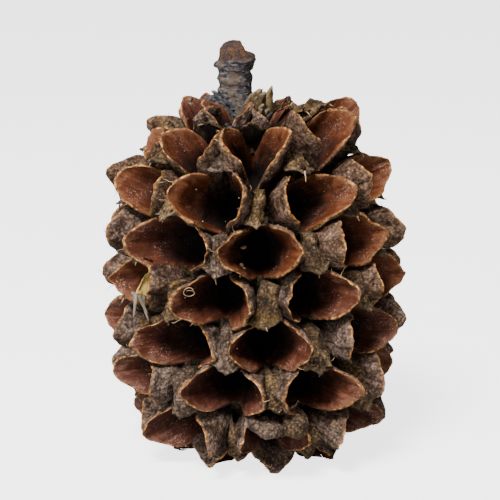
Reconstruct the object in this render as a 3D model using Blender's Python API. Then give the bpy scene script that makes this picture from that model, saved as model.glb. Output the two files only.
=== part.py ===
"""Casuarina cone: a woody she-oak cone standing on its broad end, with its stalk on top.

The cone is one grown body. Whorls of fruitlets cover a barrel-shaped core, each whorl turned half a
place from the next. A fruitlet is a beak of two gaping scoop-shaped valves round a deep throat, and a
wedge-shaped bract hangs over it on the stalk's side. Most seeds are shed, and one winged seed is
still caught beside a mouth.

Metres, +Z up, origin on the resting surface below the middle, front of the cone towards -Y.
"""

import math
import random

import bmesh
import bpy
from mathutils import Matrix, Vector

MM = 0.001

# Barrel on which the mouths sit: a superellipse turned about the axis
BARREL_RADIUS = 12.4 * MM
BARREL_MIDDLE = 19.6 * MM
UPPER_HEIGHT = 18.0 * MM
LOWER_HEIGHT = 18.6 * MM
UPPER_POWER = 2.6
LOWER_POWER = 3.4
AXIS_LEAN = 0.03
RESTING_HEIGHT = -0.2 * MM

# Whorls, numbered from the stalk down
FIRST_WHORL = -1
LAST_WHORL = 7
MIDDLE_WHORL = 3
WHORL_PITCH = 4.9 * MM
PER_WHORL = 8
FRONT_PHASE = 4.3
PHASE_DRIFT = 0.8
UPPER_TILT_SHARE = 1.4
LOWER_TILT_SHARE = 0.88
MOST_TILT = 72
UPPER_GAIN = 1.12
LOWER_GAIN = 1.23
GAIN_POWER = 0.75

# Fruitlets that grew out of line, by whorl and place: turn in degrees, rise in millimetres, shares
# of the left and the right gape, and how much further the left and right tips reach in millimetres
OUT_OF_LINE = {
    (-1, 1): (0, -0.9, 0.9, 0.9, -0.4, -0.4),
    (-1, 2): (0, -0.6, 0.9, 0.9, -0.4, -0.4),
    (0, 7): (8, 0.0, 0.88, 0.88, 0.0, 0.0),
    (0, 0): (-2, 0.0, 0.86, 0.8, 0.0, 0.0),
    (0, 1): (-5, 1.3, 1.0, 1.0, 0.0, 0.0),
    (0, 2): (-4, 1.6, 1.0, 1.0, 0.3, 0.3),
    (0, 6): (0, -0.7, 0.9, 0.9, -1.2, -1.2),
    (1, 7): (0, 0.0, 1.0, 0.72, 0.0, 0.0),
    (1, 0): (0, 0.0, 0.72, 1.0, 0.0, 0.0),
    (1, 6): (5, 0.0, 1.0, 1.0, 0.0, 0.0),
    (1, 1): (-1, 0.9, 1.0, 1.0, 0.0, 0.0),
    (2, 7): (0, 0.0, 1.0, 1.15, 0.0, -2.4),
    (2, 0): (0, 0.0, 1.0, 0.78, 0.0, 0.0),
    (2, 1): (0, 0.0, 1.0, 0.85, 0.0, -0.8),
    (3, 7): (0, 0.0, 0.87, 1.0, 0.0, 0.0),
    (3, 0): (0, 0.0, 0.88, 0.86, 0.0, 0.0),
    (3, 6): (2, 0.0, 1.0, 1.0, 0.0, -0.5),
    (3, 1): (-2, 0.0, 1.0, 1.0, 0.0, 0.0),
    (4, 7): (0, 0.0, 1.0, 1.15, 0.0, -2.4),
    (4, 0): (0, 0.0, 1.0, 0.8, 0.0, 0.0),
    (4, 6): (0, 0.0, 1.0, 1.0, 0.5, 0.0),
    (5, 7): (0, 0.0, 0.92, 1.0, 0.0, 0.0),
    (5, 0): (-6, 0.0, 1.0, 1.0, 0.0, 0.0),
    (5, 1): (-3, 0.0, 1.0, 0.85, 0.0, -1.2),
    (6, 0): (0, 0.0, 0.76, 0.76, -0.8, -0.8),
    (6, 1): (0, 0.0, 1.0, 1.0, 0.0, -0.8),
}
IN_LINE = (0, 0.0, 1.0, 1.0, 0.0, 0.0)

# One fruitlet at full size, depths measured outwards from the barrel
TIP_DEPTH = 3.5 * MM
SEAM_DEPTH = -2.8 * MM
NOTCH_SHARE = 0.42
TIP_LEAD = 0.62
GROUND_DEPTH = -1.7 * MM
FLOOR_DEPTH = -5.2 * MM
END_FLOOR_DEPTH = -3.4 * MM
HALF_GAPE = 4.0 * MM
HALF_HEIGHT = 2.4 * MM
THROAT_HALF_WIDTH = 0.9 * MM
THROAT_HALF_HEIGHT = 1.7 * MM
RIM_THICKNESS = 0.7 * MM
WALL_THICKNESS = 1.1 * MM
ROOT_SHARE = 0.1
ROOT_SINK = 0.9 * MM
CLEAR_SHARE = 1.1
CORNER_ANGLES = (0, 35, 65, 90, 115, 145, 180, 215, 245, 270, 295, 325)
FEWER_ANGLES = (0, 62, 90, 118, 180, 242, 270, 298)

# Bract above each mouth
BRACT_LIP_HEIGHT = 2.7 * MM
BRACT_TOP_HEIGHT = 6.2 * MM
BRACT_LIP_HALF_WIDTH = 1.9 * MM
BRACT_TOP_HALF_WIDTH = 0.6 * MM
BRACT_LIP_DEPTH = 1.3 * MM
BRACT_TOP_DEPTH = 0.3 * MM
BRACT_ROOT_DEPTH = -3.2 * MM

# Closed buds round the middle of the broad end
BUD_RING_RADIUS = 3.4 * MM
BUDS_IN_RING = 6
BUD_RADIUS = 1.3 * MM
BUD_LENGTH = 1.6 * MM
BUD_SINK = 0.8 * MM

# Stalk, a little to the left of the cone's axis, as heights with the radii of its left and right
# sides in millimetres: above its bark it is broken off, with a knob on the left over a ledge
STALK_RINGS = (
    (32.0, 3.5, 3.5),
    (36.2, 3.0, 2.9),
    (37.6, 2.55, 2.45),
    (38.5, 2.1, 2.05),
    (40.2, 1.9, 1.5),
    (40.8, 2.0, 1.7),
    (41.7, 1.95, 1.5),
    (42.3, 2.2, 1.75),
    (43.0, 1.85, 2.1),
    (43.7, 1.75, 2.1),
    (43.9, 1.7, 0.65),
    (44.6, 1.4, 0.4),
)
STALK_SIDES = 10
STALK_OFFSET = -1.2 * MM
KNOB_RISE = 0.33 * MM
KNOB_OFFSET = 0.5 * MM

# Winged seed, standing in the mouth of one fruitlet: outline points up and out, in millimetres
SEED_WHORL = 3
SEED_FRUITLET = 6
SEED_OUTLINE = (
    (0.45, -2.9),
    (0.75, -1.9),
    (1.3, -0.9),
    (1.6, 0.3),
    (1.2, 1.2),
    (0.3, 1.8),
    (-0.7, 2.3),
    (-1.45, 2.4),
    (-1.5, 1.4),
    (-1.0, 0.2),
    (-0.45, -1.0),
    (-0.1, -2.1),
    (0.05, -2.9),
)
SEED_THICKNESS = 0.65 * MM

# Tidying of the joined surface: a turn is the cosine of the angle a face may turn through
MOST_DEPARTURE = 0.09 * MM
THINNEST_TRIANGLE = 0.02 * MM
MOST_TURN = 0.7

SEED = 7


def barrel_point(angle, inset=0.0):
    """Radius and height of the barrel at a superellipse angle, 90 degrees at the stalk's end."""
    upper = angle >= 0
    power = UPPER_POWER if upper else LOWER_POWER
    half_height = (UPPER_HEIGHT if upper else LOWER_HEIGHT) - inset
    out = abs(math.cos(angle)) ** (2 / power)
    rise = math.copysign(abs(math.sin(angle)) ** (2 / power), angle)
    return (BARREL_RADIUS - inset) * out, BARREL_MIDDLE + half_height * rise


def barrel_place(along):
    """Radius, height and outward tilt at a length along the barrel's side above its middle."""
    steps = 400
    walked = 0.0
    before = barrel_point(0.0)
    sign = -1.0 if along < 0 else 1.0
    for i in range(1, steps):
        here = barrel_point(sign * i / steps * math.pi / 2)
        length = math.dist(before, here)
        if walked + length >= abs(along):
            share = (abs(along) - walked) / length
            radius = before[0] + (here[0] - before[0]) * share
            height = before[1] + (here[1] - before[1]) * share
            tilt = math.atan2(abs(here[0] - before[0]), abs(here[1] - before[1]))
            tilt *= LOWER_TILT_SHARE if along < 0 else UPPER_TILT_SHARE
            return radius, height, sign * min(tilt, math.radians(MOST_TILT))
        walked += length
        before = here
    raise ValueError("that length is past the barrel's end")


def axis_shift(height):
    """Sideways shift of the leaning axis at a height."""
    return AXIS_LEAN * (BARREL_MIDDLE - height)


def mesh_object(name, fill, material):
    """A linked object whose mesh is made by filling a bmesh."""
    bm = bmesh.new()
    fill(bm)
    bmesh.ops.triangulate(bm, faces=bm.faces)
    bmesh.ops.recalc_face_normals(bm, faces=bm.faces)
    mesh = bpy.data.meshes.new(name)
    bm.to_mesh(mesh)
    bm.free()
    mesh.materials.append(material)
    thing = bpy.data.objects.new(name, mesh)
    bpy.context.scene.collection.objects.link(thing)
    return thing


def bridge(bm, rings, start, end):
    """Skin between rings of equal counts, closed by a fan at each end."""
    for lower, upper in zip(rings, rings[1:]):
        count = len(lower)
        for i in range(count):
            j = (i + 1) % count
            bm.faces.new((lower[i], lower[j], upper[j], upper[i]))
    for ring, apex in ((rings[0], start), (rings[-1], end)):
        count = len(ring)
        for i in range(count):
            bm.faces.new((ring[i], ring[(i + 1) % count], apex))


def fruitlet_frame(radius, height, tilt, azimuth):
    """Local axes of a fruitlet: x sideways, y towards the stalk, z outwards."""
    outward = Vector(
        (
            math.sin(azimuth) * math.cos(tilt),
            -math.cos(azimuth) * math.cos(tilt),
            math.sin(tilt),
        )
    )
    sideways = Vector((math.cos(azimuth), math.sin(azimuth), 0))
    up = outward.cross(sideways)
    place = Vector((radius * math.sin(azimuth), -radius * math.cos(azimuth), height))
    place.x += axis_shift(height)
    frame = Matrix((sideways, up, outward)).transposed().to_4x4()
    return Matrix.Translation(place) @ frame


def cup_point(phi, share, shape, skin):
    """A point of a fruitlet's cup: phi round the mouth, share from throat to rim, skin outwards."""
    c, s = math.cos(phi), math.sin(phi)
    side = "right" if c >= 0 else "left"
    notch = min(abs(c) / NOTCH_SHARE, 1.0)
    rise = (1 - TIP_LEAD) * notch * notch * (3 - 2 * notch) + TIP_LEAD * abs(c)
    rim = SEAM_DEPTH + (shape["tip_depth"][side] - SEAM_DEPTH) * rise
    depth = shape["floor"] + (rim - shape["floor"]) * share
    gape = shape["gape"][side]
    half_width = THROAT_HALF_WIDTH + (gape - THROAT_HALF_WIDTH) * share**0.8
    half_height = THROAT_HALF_HEIGHT + (HALF_HEIGHT - THROAT_HALF_HEIGHT) * share**0.6
    pointed = math.copysign(abs(s) ** shape["point"], s)
    across = c * (half_width + skin)
    up = pointed * (half_height + 0.65 * skin) + shape["droop"] * abs(across)
    return Vector((across, up, depth))


def cup_ring(bm, frame, shape, share, skin, angles):
    """Corners round a cup, at one share of the way from its floor to its rim."""
    points = [cup_point(math.radians(a), share, shape, skin) for a in angles]
    return [bm.verts.new(frame @ point) for point in points]


def add_valves(bm, frame, shape, angles):
    """The outside of a fruitlet's two valves, solid until its hollow is cut."""
    rings = [
        cup_ring(bm, frame, shape, ROOT_SHARE, WALL_THICKNESS, angles),
        cup_ring(bm, frame, shape, 1.0, RIM_THICKNESS, angles),
    ]
    root = bm.verts.new(frame @ Vector((0, 0, shape["floor"] - ROOT_SINK)))
    middle = bm.verts.new(frame @ Vector((0, 0, SEAM_DEPTH)))
    bridge(bm, rings, root, middle)


def add_hollow(bm, frame, shape, angles):
    """The hollow of a fruitlet, from its deep throat to clear of its rim."""
    rings = [
        cup_ring(bm, frame, shape, 0.4, 0.0, angles),
        cup_ring(bm, frame, shape, CLEAR_SHARE, 0.0, angles),
    ]
    floor = bm.verts.new(frame @ Vector((0, 0, shape["floor"])))
    clear = bm.verts.new(frame @ Vector((0, 0, TIP_DEPTH * 1.3)))
    bridge(bm, rings, floor, clear)


def add_bract(bm, frame):
    """The wedge-shaped bract that overhangs a mouth, with a point in the middle of its lip."""
    lip, top = BRACT_LIP_HEIGHT, BRACT_TOP_HEIGHT
    front = [
        (-BRACT_LIP_HALF_WIDTH, lip, BRACT_LIP_DEPTH * 0.6),
        (0, lip - 0.7 * MM, BRACT_LIP_DEPTH),
        (BRACT_LIP_HALF_WIDTH, lip, BRACT_LIP_DEPTH * 0.6),
        (BRACT_TOP_HALF_WIDTH, top, BRACT_TOP_DEPTH),
        (-BRACT_TOP_HALF_WIDTH, top, BRACT_TOP_DEPTH),
    ]
    outer = [bm.verts.new(frame @ Vector(point)) for point in front]
    root = bm.verts.new(frame @ Vector((0, (lip + top) / 2, BRACT_ROOT_DEPTH)))
    bm.faces.new(outer)
    for i in range(len(outer)):
        bm.faces.new((outer[i], root, outer[(i + 1) % len(outer)]))


def add_ground(bm):
    """The woody body that carries every fruitlet, up to where the valves stand free of it."""
    rings = []
    for degrees in range(-80, 81, 16):
        radius, height = barrel_point(math.radians(degrees), -GROUND_DEPTH)
        ring = []
        for i in range(16):
            azimuth = 2 * math.pi * i / 16
            x = radius * math.sin(azimuth) + axis_shift(height)
            ring.append(bm.verts.new((x, -radius * math.cos(azimuth), height)))
        rings.append(ring)
    ends = []
    for degrees in (-90, 90):
        height = barrel_point(math.radians(degrees), -GROUND_DEPTH)[1]
        ends.append(bm.verts.new((axis_shift(height), 0, height)))
    bridge(bm, rings, *ends)


def add_bud(bm, radius, azimuth):
    """A small closed fruitlet at the broad end's recessed middle: a ridged cone pointing down."""
    foot_height = BARREL_MIDDLE - LOWER_HEIGHT - GROUND_DEPTH + BUD_SINK
    tip_height = foot_height - BUD_SINK - BUD_LENGTH
    x = radius * math.sin(azimuth) + axis_shift(0)
    y = -radius * math.cos(azimuth)
    foot = []
    for i in range(6):
        turn = azimuth + 2 * math.pi * i / 6
        out = BUD_RADIUS * (1.25 if i % 3 == 0 else 0.9)
        point = (x + out * math.sin(turn), y - out * math.cos(turn), foot_height)
        foot.append(bm.verts.new(point))
    tip = bm.verts.new((x * 1.15, y * 1.15, tip_height))
    bm.faces.new(foot)
    for i in range(6):
        bm.faces.new((foot[i], foot[(i + 1) % 6], tip))


def stalk_centre(height):
    """Where the stalk's middle line is at a height."""
    return axis_shift(height) + STALK_OFFSET


def add_stalk(bm):
    """The ringed stalk, broken off at its top."""
    rings = []
    for height, left, right in STALK_RINGS:
        ring = []
        for i in range(STALK_SIDES):
            azimuth = 2 * math.pi * i / STALK_SIDES
            share = (1 + math.cos(azimuth)) / 2
            radius = (left * (1 - share) + right * share) * MM
            x = stalk_centre(height * MM) + radius * math.cos(azimuth)
            ring.append(bm.verts.new((x, radius * math.sin(azimuth), height * MM)))
        rings.append(ring)
    foot = bm.verts.new((stalk_centre(0), 0, STALK_RINGS[0][0] * MM))
    top = STALK_RINGS[-1][0] * MM + KNOB_RISE
    bridge(bm, rings, foot, bm.verts.new((stalk_centre(top) - KNOB_OFFSET, 0, top)))


def fruitlet_shape(rng, floor, gapes, reaches):
    """How deep one fruitlet is, and how far and how wide its two valves have opened."""
    tips = [TIP_DEPTH * rng.uniform(0.86, 1.12) + reach * MM for reach in reaches]
    opened = [HALF_GAPE * rng.uniform(0.92, 1.08) * gape for gape in gapes]
    return {
        "floor": floor,
        "tip_depth": {"left": tips[0], "right": tips[1]},
        "gape": {"left": opened[0], "right": opened[1]},
        "point": rng.uniform(1.0, 1.35),
        "droop": rng.uniform(-0.08, 0.08),
    }


def plain_material(name, colour, roughness):
    """A plain material of one colour."""
    made = bpy.data.materials.new(name)
    made.use_nodes = True
    shader = made.node_tree.nodes["Principled BSDF"]
    shader.inputs["Base Color"].default_value = (*colour, 1)
    shader.inputs["Roughness"].default_value = roughness
    return made


def new_group(name):
    """A linked collection."""
    group = bpy.data.collections.new(name)
    bpy.context.scene.collection.children.link(group)
    return group


def grow(group, name, fill, material):
    """Makes an object in a collection."""
    thing = mesh_object(name, fill, material)
    bpy.context.scene.collection.objects.unlink(thing)
    group.objects.link(thing)


def combine(target, others, operation):
    """Joins a collection's objects to the target, or cuts them from it, and removes them."""
    step = target.modifiers.new("combine", "BOOLEAN")
    step.operation = operation
    step.operand_type = "COLLECTION"
    step.collection = others
    step.solver = "MANIFOLD"
    bpy.context.view_layer.objects.active = target
    bpy.ops.object.modifier_apply(modifier=step.name)
    for thing in list(others.objects):
        bpy.data.objects.remove(thing)
    bpy.data.collections.remove(others)


def face_normal(a, b, c):
    """Normal of a triangle, as long as twice its area."""
    return (b - a).cross(c - a)


def height_of(a, b, c):
    """Least height of a triangle."""
    return face_normal(a, b, c).length / max((b - a).length, (c - b).length, (a - c).length)


def edges_of(faces):
    """The faces on each edge of a surface of triangles."""
    found = {}
    for f, face in enumerate(faces):
        for i in range(3):
            found.setdefault(tuple(sorted((face[i - 1], face[i]))), []).append(f)
    return found


def turn_doubled_edges(points, faces):
    """Turns the cut across a flat face where it runs along another edge. True if it found any."""
    found = edges_of(faces)
    doubled = [(edge, on) for edge, on in found.items() if len(on) > 2]
    changed = set()
    for (a, b), on in doubled:
        if changed.intersection(on):
            continue
        normals = {f: face_normal(*(points[v] for v in faces[f])).normalized() for f in on}
        pairs = [(f, g) for f in on for g in on if f < g]
        f, g = max(pairs, key=lambda pair: normals[pair[0]].dot(normals[pair[1]]))
        c = next(v for v in faces[f] if v not in (a, b))
        d = next(v for v in faces[g] if v not in (a, b))
        faces[f] = tuple(d if v == b else v for v in faces[f])
        faces[g] = tuple(c if v == a else v for v in faces[g])
        changed.update(on)
    return bool(doubled)


def turn_thin_triangles(points, faces):
    """Turns the longest edge of each triangle that has next to no height."""
    found = edges_of(faces)
    changed = set()
    for f in range(len(faces)):
        if f in changed:
            continue
        if height_of(*(points[v] for v in faces[f])) > THINNEST_TRIANGLE / 4:
            continue
        spans = [(points[faces[f][i]] - points[faces[f][i - 2]]).length for i in range(3)]
        i = spans.index(max(spans))
        a, b, c = faces[f][i], faces[f][i - 2], faces[f][i - 1]
        on = found[tuple(sorted((a, b)))]
        if changed.intersection(on) or len(on) != 2:
            continue
        g = on[0] if on[1] == f else on[1]
        d = next(v for v in faces[g] if v not in (a, b))
        if tuple(sorted((c, d))) in found:
            continue
        turned = [(c, a, d), (d, b, c)]
        beside = face_normal(*(points[v] for v in faces[g]))
        normals = [face_normal(*(points[v] for v in face)) for face in turned]
        if min(beside.dot(normal) for normal in normals) <= 0:
            continue
        faces[f], faces[g] = turned
        changed.update(on)


def may_close(points, faces, around, a, b):
    """Whether corner a can move onto corner b without folding or pinching the surface."""
    ring_a = {v for f in around[a] for v in faces[f]}
    ring_b = {v for f in around[b] for v in faces[f]}
    if len((ring_a & ring_b) - {a, b}) != 2:
        return False
    for f in around[a] - around[b]:
        corners = [points[v] for v in faces[f]]
        moved = [points[b] if v == a else points[v] for v in faces[f]]
        height = height_of(*corners)
        if height_of(*moved) < min(height, THINNEST_TRIANGLE):
            return False
        before = face_normal(*corners)
        after = face_normal(*moved)
        flat = height < THINNEST_TRIANGLE / 4
        if not flat and before.dot(after) < MOST_TURN * before.length * after.length:
            return False
    return True


def departure(points, faces, around, a, b):
    """How far corner b is from the planes of the faces round corner a."""
    step = points[b] - points[a]
    planes = [face_normal(*(points[v] for v in faces[f])).normalized() for f in around[a]]
    return max(abs(plane.dot(step)) for plane in planes)


def close_idle_edges(points, faces):
    """Closes up edges that the form hardly needs, and returns the faces left."""
    around = [set() for _ in points]
    for f, face in enumerate(faces):
        for v in face:
            around[v].add(f)
    steps = []
    for edge in edges_of(faces):
        for a, b in (edge, edge[::-1]):
            steps.append((departure(points, faces, around, a, b), a, b))
    for cost, a, b in sorted(steps):
        if cost > MOST_DEPARTURE:
            break
        shared = around[a] & around[b]
        if not shared or departure(points, faces, around, a, b) > MOST_DEPARTURE:
            continue
        if not may_close(points, faces, around, a, b):
            continue
        for f in shared:
            for v in faces[f]:
                around[v].discard(f)
            faces[f] = None
        for f in around[a]:
            faces[f] = tuple(b if v == a else v for v in faces[f])
        around[b] |= around[a]
        around[a] = set()
    return [face for face in faces if face]


def largest_part(count, faces):
    """The faces of the largest connected part."""
    parent = list(range(count))

    def root(v):
        while parent[v] != v:
            parent[v] = parent[parent[v]]
            v = parent[v]
        return v

    for face in faces:
        for v in face[1:]:
            parent[root(v)] = root(face[0])
    parts = {}
    for face in faces:
        parts.setdefault(root(face[0]), []).append(face)
    return max(parts.values(), key=len)


def tidy_surface(thing, passes):
    """Leaves one connected surface of triangles, free of the idle edges that the joins make."""
    bm = bmesh.new()
    bm.from_mesh(thing.data)
    idle = [v for v in bm.verts if len(v.link_edges) == 2]
    bmesh.ops.dissolve_verts(bm, verts=idle)
    bmesh.ops.triangulate(bm, faces=bm.faces)
    bm.verts.index_update()
    points = [v.co.copy() for v in bm.verts]
    faces = [tuple(v.index for v in face.verts) for face in bm.faces]
    bm.free()
    for _ in range(4):
        turn_doubled_edges(points, faces)
    for _ in range(4):
        turn_thin_triangles(points, faces)
    faces = largest_part(len(points), faces)
    for _ in range(passes):
        faces = close_idle_edges(points, faces)
    for _ in range(4):
        turn_thin_triangles(points, faces)
    used = sorted({v for face in faces for v in face})
    number = {v: i for i, v in enumerate(used)}
    mesh = bpy.data.meshes.new(thing.name)
    mesh.from_pydata([points[v] for v in used], [], [[number[v] for v in f] for f in faces])
    mesh.materials.append(thing.data.materials[0])
    thing.data = mesh


def add_resting_block(bm):
    """The block below the resting height, which cuts the lowest valve tips flat."""
    bmesh.ops.create_cube(bm, size=60 * MM)
    bmesh.ops.translate(bm, verts=bm.verts, vec=(0, 0, RESTING_HEIGHT - 30 * MM))


def add_seed(bm, frame):
    """The winged seed: a thin plate whose narrow end is down in the throat."""
    sides = []
    for across in (-SEED_THICKNESS / 2, SEED_THICKNESS / 2):
        points = [Vector((across, up * MM, out * MM)) for up, out in SEED_OUTLINE]
        sides.append([bm.verts.new(frame @ point) for point in points])
    left, right = sides
    bm.faces.new(left)
    bm.faces.new(reversed(right))
    for i in range(len(left)):
        j = (i + 1) % len(left)
        bm.faces.new((left[i], right[i], right[j], left[j]))


def build_cone():
    """The whole woody cone with its stalk, and the frame of the mouth that holds the seed."""
    rng = random.Random(SEED)
    wood = plain_material("cone_wood", (0.13, 0.075, 0.045), 0.8)
    cone = mesh_object("cone", add_ground, wood)
    grown = new_group("grown")
    hollows = new_group("hollows")
    bracts = new_group("bracts")
    for whorl in range(FIRST_WHORL, LAST_WHORL + 1):
        radius, height, tilt = barrel_place((MIDDLE_WHORL - whorl) * WHORL_PITCH)
        gain = UPPER_GAIN if whorl < MIDDLE_WHORL else LOWER_GAIN
        scale = min(1.0, gain * (radius / BARREL_RADIUS) ** GAIN_POWER)
        small = whorl in (FIRST_WHORL, LAST_WHORL)
        angles = FEWER_ANGLES if small else CORNER_ANGLES
        floor = END_FLOOR_DEPTH if small else FLOOR_DEPTH
        for place in range(PER_WHORL):
            out_of_line = OUT_OF_LINE.get((whorl, place), IN_LINE)
            turn = FRONT_PHASE + PHASE_DRIFT * whorl + 45 * place + 22.5 * (whorl % 2)
            azimuth = math.radians(turn + out_of_line[0] + rng.uniform(-2, 2))
            rise = (out_of_line[1] + rng.uniform(-0.25, 0.25)) * MM
            frame = fruitlet_frame(radius, height + rise, tilt, azimuth)
            frame = frame @ Matrix.Scale(scale, 4)
            parts = (frame, fruitlet_shape(rng, floor, out_of_line[2:4], out_of_line[4:]), angles)
            name = f"fruitlet_{whorl - FIRST_WHORL}_{place}"
            grow(grown, name, lambda bm: add_valves(bm, *parts), wood)
            grow(hollows, name + "_hollow", lambda bm: add_hollow(bm, *parts), wood)
            if whorl > FIRST_WHORL:
                grow(bracts, name + "_bract", lambda bm: add_bract(bm, frame), wood)
            if (whorl, place) == (SEED_WHORL, SEED_FRUITLET):
                seed_frame = frame
    combine(cone, grown, "UNION")
    combine(cone, hollows, "DIFFERENCE")
    grow(bracts, "stalk", add_stalk, wood)
    grow(bracts, "bud", lambda bm: add_bud(bm, 0.0, 0.4), wood)
    for i in range(BUDS_IN_RING):
        turn = 2 * math.pi * i / BUDS_IN_RING + 0.2
        grow(bracts, f"bud_{i}", lambda bm: add_bud(bm, BUD_RING_RADIUS, turn), wood)
    combine(cone, bracts, "UNION")
    tidy_surface(cone, 3)
    below = new_group("below")
    grow(below, "block", add_resting_block, wood)
    combine(cone, below, "DIFFERENCE")
    tidy_surface(cone, 0)
    return cone, seed_frame


def stand_on_origin(cone, others):
    """Moves everything so that the cone's box stands centred on the origin."""
    points = [v.co for v in cone.data.vertices]
    low = Vector([min(p[i] for p in points) for i in range(3)])
    high = Vector([max(p[i] for p in points) for i in range(3)])
    shift = Matrix.Translation((-(low.x + high.x) / 2, -(low.y + high.y) / 2, -low.z))
    for thing in [cone, *others]:
        thing.data.transform(shift)


def main():
    for thing in list(bpy.data.objects):
        bpy.data.objects.remove(thing)
    cone, seed_frame = build_cone()
    straw = plain_material("seed_straw", (0.55, 0.43, 0.26), 0.6)
    seed = mesh_object("winged_seed", lambda bm: add_seed(bm, seed_frame), straw)
    stand_on_origin(cone, [seed])


main()
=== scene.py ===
"""Looks of a casuarina cone: its valves, bracts, stalk and caught seed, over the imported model."""

import itertools
import math
import random

import bpy
import numpy as np
from mathutils import Matrix, Vector


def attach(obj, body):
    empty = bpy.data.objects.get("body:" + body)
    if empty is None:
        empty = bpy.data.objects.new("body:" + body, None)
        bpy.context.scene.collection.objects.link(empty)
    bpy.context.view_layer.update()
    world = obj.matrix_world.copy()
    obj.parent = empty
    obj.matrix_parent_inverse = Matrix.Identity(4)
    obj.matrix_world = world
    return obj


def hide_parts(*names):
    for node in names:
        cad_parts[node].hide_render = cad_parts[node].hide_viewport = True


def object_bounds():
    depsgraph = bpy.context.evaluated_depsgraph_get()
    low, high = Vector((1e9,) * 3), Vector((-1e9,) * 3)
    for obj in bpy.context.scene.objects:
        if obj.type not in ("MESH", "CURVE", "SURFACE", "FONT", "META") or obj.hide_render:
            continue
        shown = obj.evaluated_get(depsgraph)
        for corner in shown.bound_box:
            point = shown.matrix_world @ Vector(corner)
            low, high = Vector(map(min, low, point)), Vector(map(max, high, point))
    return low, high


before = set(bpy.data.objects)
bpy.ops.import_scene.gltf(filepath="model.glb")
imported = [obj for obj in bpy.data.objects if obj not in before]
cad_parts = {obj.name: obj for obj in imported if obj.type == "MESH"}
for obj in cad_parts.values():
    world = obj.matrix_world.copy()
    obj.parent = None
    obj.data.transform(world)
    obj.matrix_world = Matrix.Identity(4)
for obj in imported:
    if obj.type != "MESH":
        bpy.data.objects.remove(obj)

cad_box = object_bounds()
MM = 0.001

# The layout that the solids have, in metres and degrees
BARREL_RADIUS, BARREL_MIDDLE = 12.4 * MM, 19.6 * MM
UPPER_HEIGHT, LOWER_HEIGHT = 18.0 * MM, 18.6 * MM
UPPER_POWER, LOWER_POWER = 2.6, 3.4
AXIS_LEAN = 0.03
FIRST_WHORL, LAST_WHORL, MIDDLE_WHORL = -1, 7, 3
WHORL_PITCH, PER_WHORL = 4.9 * MM, 8
FRONT_PHASE, PHASE_DRIFT = 4.3, 0.8
UPPER_TILT_SHARE, LOWER_TILT_SHARE, MOST_TILT = 1.4, 0.88, 72
UPPER_GAIN, LOWER_GAIN, GAIN_POWER = 1.12, 1.23, 0.75
TIP_DEPTH, SEAM_DEPTH = 3.5 * MM, -2.8 * MM
NOTCH_SHARE, TIP_LEAD = 0.42, 0.62
GROUND_DEPTH, FLOOR_DEPTH, END_FLOOR_DEPTH = -1.7 * MM, -5.2 * MM, -3.4 * MM
HALF_GAPE, HALF_HEIGHT = 4.0 * MM, 2.4 * MM
THROAT_HALF_WIDTH, THROAT_HALF_HEIGHT = 0.9 * MM, 1.7 * MM
STALK_OFFSET = -1.2 * MM
SEED_WHORL, SEED_FRUITLET = 3, 6
SHIFT = Vector((0.12 * MM, -0.3136 * MM, 0.2 * MM))
SEED = 7
BOX_MARGIN = 0.15 * MM

# Fruitlets that grew out of line, by whorl and place: turn in degrees, rise in millimetres, shares
# of the left and the right gape, and how much further the left and right tips reach in millimetres
OUT_OF_LINE = {
    (-1, 1): (0, -0.9, 0.9, 0.9, -0.4, -0.4), (-1, 2): (0, -0.6, 0.9, 0.9, -0.4, -0.4),
    (0, 7): (8, 0, 0.88, 0.88, 0, 0), (0, 0): (-2, 0, 0.86, 0.8, 0, 0),
    (0, 1): (-5, 1.3, 1, 1, 0, 0), (0, 2): (-4, 1.6, 1, 1, 0.3, 0.3),
    (0, 6): (0, -0.7, 0.9, 0.9, -1.2, -1.2), (1, 7): (0, 0, 1, 0.72, 0, 0),
    (1, 0): (0, 0, 0.72, 1, 0, 0), (1, 6): (5, 0, 1, 1, 0, 0), (1, 1): (-1, 0.9, 1, 1, 0, 0),
    (2, 7): (0, 0, 1, 1.15, 0, -2.4), (2, 0): (0, 0, 1, 0.78, 0, 0),
    (2, 1): (0, 0, 1, 0.85, 0, -0.8), (3, 7): (0, 0, 0.87, 1, 0, 0),
    (3, 0): (0, 0, 0.88, 0.86, 0, 0), (3, 6): (2, 0, 1, 1, 0, -0.5), (3, 1): (-2, 0, 1, 1, 0, 0),
    (4, 7): (0, 0, 1, 1.15, 0, -2.4), (4, 0): (0, 0, 1, 0.8, 0, 0), (4, 6): (0, 0, 1, 1, 0.5, 0),
    (5, 7): (0, 0, 0.92, 1, 0, 0), (5, 0): (-6, 0, 1, 1, 0, 0), (5, 1): (-3, 0, 1, 0.85, 0, -1.2),
    (6, 0): (0, 0, 0.76, 0.76, -0.8, -0.8), (6, 1): (0, 0, 1, 1, 0, -0.8),
}
IN_LINE = (0, 0, 1, 1, 0, 0)


def barrel_point(angle, inset=0.0):
    """Radius and height of the barrel at a superellipse angle, 90 degrees at the stalk's end."""
    upper = angle >= 0
    power = UPPER_POWER if upper else LOWER_POWER
    half_height = (UPPER_HEIGHT if upper else LOWER_HEIGHT) - inset
    out = abs(math.cos(angle)) ** (2 / power)
    rise = math.copysign(abs(math.sin(angle)) ** (2 / power), angle)
    return (BARREL_RADIUS - inset) * out, BARREL_MIDDLE + half_height * rise


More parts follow.
